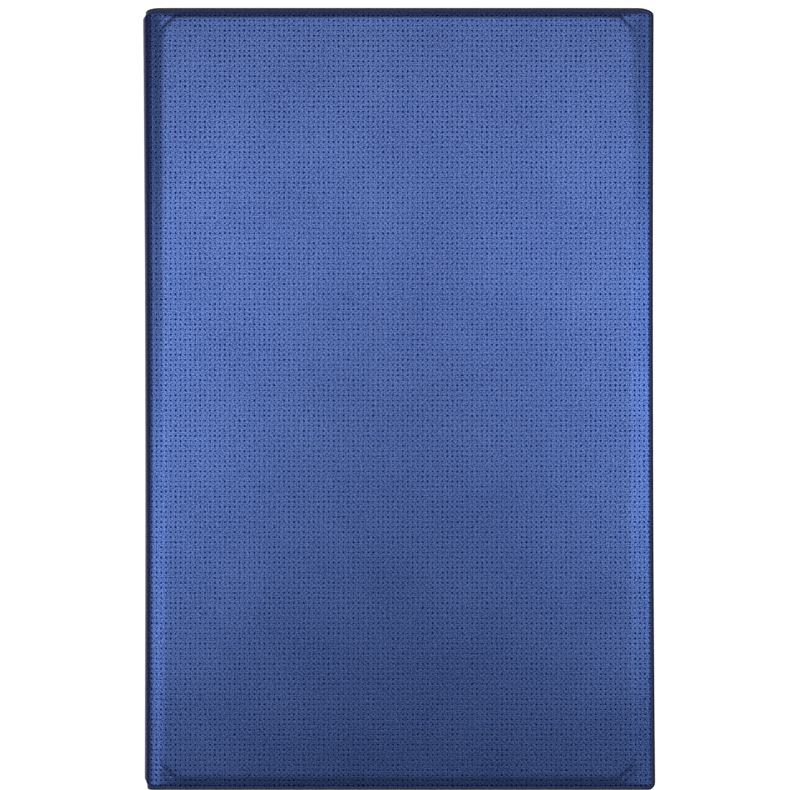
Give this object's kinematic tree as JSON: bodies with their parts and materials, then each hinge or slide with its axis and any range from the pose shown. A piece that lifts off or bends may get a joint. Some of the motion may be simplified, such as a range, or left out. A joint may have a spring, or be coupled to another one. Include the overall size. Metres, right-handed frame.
{
  "type": "tablet keyboard case",
  "caption": "Book-style tablet case with a tray, a fold-out stand flap and a wireless keyboard held inside its front cover.",
  "frame": {"origin": "middle of the closed case's footprint, on the outer face of its back cover", "axes": "+Z out of the front cover of the closed case, +Y along the spine towards the case's head, spine at -X, free edge at +X"},
  "size_m": [0.1674, 0.256, 0.0215],
  "materials": {
    "pu_leather": "satin, pearlescent, fine dotted grain",
    "microfibre_lining": "matte, brushed",
    "stiffening_board": "matte",
    "magnet_plating": "satin nickel plating",
    "sheet_steel": "satin",
    "screw_steel": "satin",
    "socket_metal": "satin",
    "glue_film": "matte",
    "tray_plastic": "fine moulded texture",
    "felt_pad": "soft brushed felt",
    "keyboard_plastic": "fine moulded texture",
    "key_plastic": "fine moulded texture",
    "switch_plastic": "gloss",
    "silicone": "matte",
    "contact_film": "gloss",
    "circuit_board": "gloss",
    "battery_foil": "satin foil",
    "light_pipe": "gloss",
    "silicone_pads": "matte"
  },
  "bodies": {
    "back_cover": {"back_cover_skin": "pu_leather", "back_cover_board": "stiffening_board", "back_cover_lining": "microfibre_lining", "anchor_strip_skin": "pu_leather", "anchor_strip_lining": "microfibre_lining", "tray_glue_sheet": "glue_film", "tablet_tray": "tray_plastic", "tray_pad": "felt_pad", "flap_keeper_plates": "sheet_steel"},
    "spine": {"spine_skin": "pu_leather", "spine_board": "stiffening_board", "spine_lining": "microfibre_lining"},
    "front_cover": {"front_cover_skin": "pu_leather", "front_cover_board": "stiffening_board", "front_cover_lining": "microfibre_lining", "cover_magnets": "magnet_plating", "sleep_magnet": "magnet_plating"},
    "stand_flap": {"stand_flap_skin": "pu_leather", "stand_flap_board": "stiffening_board", "stand_flap_lining": "microfibre_lining", "stand_flap_magnets": "magnet_plating"},
    "keyboard": {"keyboard_top_case": "keyboard_plastic", "keyboard_bottom_case": "keyboard_plastic", "dome_sheet": "silicone", "circuit_sheet": "contact_film", "controller_board": "circuit_board", "battery_cell": "battery_foil", "charging_socket": "socket_metal", "indicator_lights": "light_pipe", "keyboard_magnets": "magnet_plating", "case_screws": "screw_steel", "rubber_pads": "silicone_pads"},
    "power_switch": {"power_switch": "switch_plastic"},
    "function_keys": {"function_keys": "key_plastic"},
    "number_keys": {"number_keys": "key_plastic"},
    "upper_letter_keys": {"upper_letter_keys": "key_plastic"},
    "home_letter_keys": {"home_letter_keys": "key_plastic"},
    "lower_letter_keys": {"lower_letter_keys": "key_plastic"},
    "escape_key": {"escape_key": "key_plastic"},
    "backspace_key": {"backspace_key": "key_plastic"},
    "tab_key": {"tab_key": "key_plastic"},
    "backslash_key": {"backslash_key": "key_plastic"},
    "caps_lock_key": {"caps_lock_key": "key_plastic"},
    "enter_key": {"enter_key": "key_plastic"},
    "left_shift_key": {"left_shift_key": "key_plastic"},
    "right_shift_key": {"right_shift_key": "key_plastic"},
    "fn_key": {"fn_key": "key_plastic"},
    "control_key": {"control_key": "key_plastic"},
    "left_alt_key": {"left_alt_key": "key_plastic"},
    "left_menu_key": {"left_menu_key": "key_plastic"},
    "space_bar": {"space_bar": "key_plastic"},
    "right_menu_key": {"right_menu_key": "key_plastic"},
    "right_alt_key": {"right_alt_key": "key_plastic"},
    "left_arrow_key": {"left_arrow_key": "key_plastic"},
    "up_arrow_key": {"up_arrow_key": "key_plastic"},
    "down_arrow_key": {"down_arrow_key": "key_plastic"},
    "right_arrow_key": {"right_arrow_key": "key_plastic"}
  },
  "joints": [
    {"name": "back_fold", "type": "hinge", "parent": "back_cover", "child": "spine", "pos_m": [-0.08297, 0, 0.00173], "axis": [0, -1, 0], "range_deg": [0, 90]},
    {"name": "front_fold", "type": "hinge", "parent": "spine", "child": "front_cover", "pos_m": [-0.08297, 0, 0.01977], "axis": [0, -1, 0], "range_deg": [0, 90]},
    {"name": "stand_flap_fold", "type": "hinge", "parent": "back_cover", "child": "stand_flap", "pos_m": [-0.0019, 0, 0.001], "axis": [0, -1, 0], "range_deg": [0, 110]},
    {"name": "keyboard_lift_off", "type": "slide", "parent": "front_cover", "child": "keyboard", "axis": [1, 0, 0], "range_m": [0, 0.14]},
    {"name": "power_switch_slide", "type": "slide", "parent": "keyboard", "child": "power_switch", "axis": [0, -1, 0], "range_m": [0, 0.0025]},
    {"name": "function_keys_press", "type": "slide", "parent": "keyboard", "child": "function_keys", "axis": [0, 0, 1], "range_m": [0, 0.0013], "stiffness_N_per_m": 3600, "springref_m": -0.0006, "deforming": ["dome_sheet"]},
    {"name": "number_keys_press", "type": "slide", "parent": "keyboard", "child": "number_keys", "axis": [0, 0, 1], "range_m": [0, 0.0013], "stiffness_N_per_m": 3900, "springref_m": -0.0006, "deforming": ["dome_sheet"]},
    {"name": "upper_letter_keys_press", "type": "slide", "parent": "keyboard", "child": "upper_letter_keys", "axis": [0, 0, 1], "range_m": [0, 0.0013], "stiffness_N_per_m": 3600, "springref_m": -0.0006, "deforming": ["dome_sheet"]},
    {"name": "home_letter_keys_press", "type": "slide", "parent": "keyboard", "child": "home_letter_keys", "axis": [0, 0, 1], "range_m": [0, 0.0013], "stiffness_N_per_m": 3300, "springref_m": -0.0006, "deforming": ["dome_sheet"]},
    {"name": "lower_letter_keys_press", "type": "slide", "parent": "keyboard", "child": "lower_letter_keys", "axis": [0, 0, 1], "range_m": [0, 0.0013], "stiffness_N_per_m": 3000, "springref_m": -0.0006, "deforming": ["dome_sheet"]},
    {"name": "escape_key_press", "type": "slide", "parent": "keyboard", "child": "escape_key", "axis": [0, 0, 1], "range_m": [0, 0.0013], "stiffness_N_per_m": 300, "springref_m": -0.0006, "deforming": ["dome_sheet"]},
    {"name": "backspace_key_press", "type": "slide", "parent": "keyboard", "child": "backspace_key", "axis": [0, 0, 1], "range_m": [0, 0.0013], "stiffness_N_per_m": 300, "springref_m": -0.0006, "deforming": ["dome_sheet"]},
    {"name": "tab_key_press", "type": "slide", "parent": "keyboard", "child": "tab_key", "axis": [0, 0, 1], "range_m": [0, 0.0013], "stiffness_N_per_m": 300, "springref_m": -0.0006, "deforming": ["dome_sheet"]},
    {"name": "backslash_key_press", "type": "slide", "parent": "keyboard", "child": "backslash_key", "axis": [0, 0, 1], "range_m": [0, 0.0013], "stiffness_N_per_m": 300, "springref_m": -0.0006, "deforming": ["dome_sheet"]},
    {"name": "caps_lock_key_press", "type": "slide", "parent": "keyboard", "child": "caps_lock_key", "axis": [0, 0, 1], "range_m": [0, 0.0013], "stiffness_N_per_m": 300, "springref_m": -0.0006, "deforming": ["dome_sheet"]},
    {"name": "enter_key_press", "type": "slide", "parent": "keyboard", "child": "enter_key", "axis": [0, 0, 1], "range_m": [0, 0.0013], "stiffness_N_per_m": 300, "springref_m": -0.0006, "deforming": ["dome_sheet"]},
    {"name": "left_shift_key_press", "type": "slide", "parent": "keyboard", "child": "left_shift_key", "axis": [0, 0, 1], "range_m": [0, 0.0013], "stiffness_N_per_m": 300, "springref_m": -0.0006, "deforming": ["dome_sheet"]},
    {"name": "right_shift_key_press", "type": "slide", "parent": "keyboard", "child": "right_shift_key", "axis": [0, 0, 1], "range_m": [0, 0.0013], "stiffness_N_per_m": 300, "springref_m": -0.0006, "deforming": ["dome_sheet"]},
    {"name": "fn_key_press", "type": "slide", "parent": "keyboard", "child": "fn_key", "axis": [0, 0, 1], "range_m": [0, 0.0013], "stiffness_N_per_m": 300, "springref_m": -0.0006, "deforming": ["dome_sheet"]},
    {"name": "control_key_press", "type": "slide", "parent": "keyboard", "child": "control_key", "axis": [0, 0, 1], "range_m": [0, 0.0013], "stiffness_N_per_m": 300, "springref_m": -0.0006, "deforming": ["dome_sheet"]},
    {"name": "left_alt_key_press", "type": "slide", "parent": "keyboard", "child": "left_alt_key", "axis": [0, 0, 1], "range_m": [0, 0.0013], "stiffness_N_per_m": 300, "springref_m": -0.0006, "deforming": ["dome_sheet"]},
    {"name": "left_menu_key_press", "type": "slide", "parent": "keyboard", "child": "left_menu_key", "axis": [0, 0, 1], "range_m": [0, 0.0013], "stiffness_N_per_m": 300, "springref_m": -0.0006, "deforming": ["dome_sheet"]},
    {"name": "space_bar_press", "type": "slide", "parent": "keyboard", "child": "space_bar", "axis": [0, 0, 1], "range_m": [0, 0.0013], "stiffness_N_per_m": 300, "springref_m": -0.0006, "deforming": ["dome_sheet"]},
    {"name": "right_menu_key_press", "type": "slide", "parent": "keyboard", "child": "right_menu_key", "axis": [0, 0, 1], "range_m": [0, 0.0013], "stiffness_N_per_m": 300, "springref_m": -0.0006, "deforming": ["dome_sheet"]},
    {"name": "right_alt_key_press", "type": "slide", "parent": "keyboard", "child": "right_alt_key", "axis": [0, 0, 1], "range_m": [0, 0.0013], "stiffness_N_per_m": 300, "springref_m": -0.0006, "deforming": ["dome_sheet"]},
    {"name": "left_arrow_key_press", "type": "slide", "parent": "keyboard", "child": "left_arrow_key", "axis": [0, 0, 1], "range_m": [0, 0.0013], "stiffness_N_per_m": 300, "springref_m": -0.0006, "deforming": ["dome_sheet"]},
    {"name": "up_arrow_key_press", "type": "slide", "parent": "keyboard", "child": "up_arrow_key", "axis": [0, 0, 1], "range_m": [0, 0.0013], "stiffness_N_per_m": 300, "springref_m": -0.0006, "deforming": ["dome_sheet"]},
    {"name": "down_arrow_key_press", "type": "slide", "parent": "keyboard", "child": "down_arrow_key", "axis": [0, 0, 1], "range_m": [0, 0.0013], "stiffness_N_per_m": 300, "springref_m": -0.0006, "deforming": ["dome_sheet"]},
    {"name": "right_arrow_key_press", "type": "slide", "parent": "keyboard", "child": "right_arrow_key", "axis": [0, 0, 1], "range_m": [0, 0.0013], "stiffness_N_per_m": 300, "springref_m": -0.0006, "deforming": ["dome_sheet"]}
  ]
}
